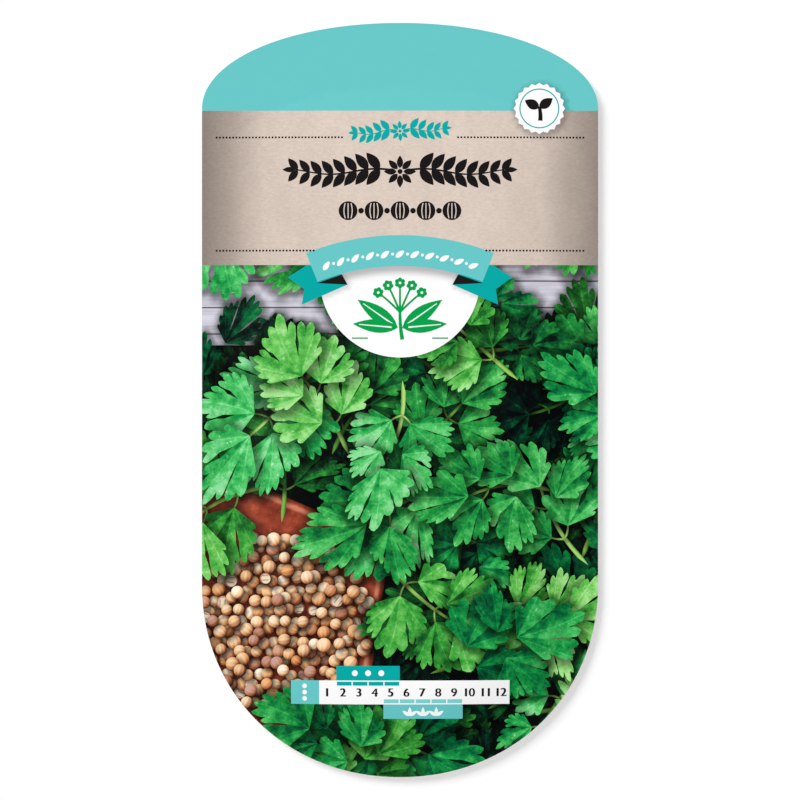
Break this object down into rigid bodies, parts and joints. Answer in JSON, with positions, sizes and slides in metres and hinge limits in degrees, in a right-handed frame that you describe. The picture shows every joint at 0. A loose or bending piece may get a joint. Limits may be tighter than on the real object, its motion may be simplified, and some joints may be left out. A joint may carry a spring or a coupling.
{
  "type": "seed packet",
  "caption": "Flat sealed paper seed packet with round ends, swollen at the bottom by the coriander seeds it holds.",
  "frame": {"origin": "on the surface that the packet lies on, under the middle of the packet", "axes": "+Y towards the top of the packet, +Z out of its printed front, +X to the right as the front is read"},
  "size_m": [0.084, 0.16, 0.0053],
  "materials": {
    "front_print": "satin coated paper, printed in turquoise, kraft beige and leaf green",
    "back_print": "satin coated paper, printed in kraft beige with a turquoise head",
    "seed": "dry ribbed seed husk"
  },
  "bodies": {
    "root": {"front_sheet": "front_print", "back_sheet": "back_print", "coriander_seeds": "seed"}
  },
  "joints": []
}
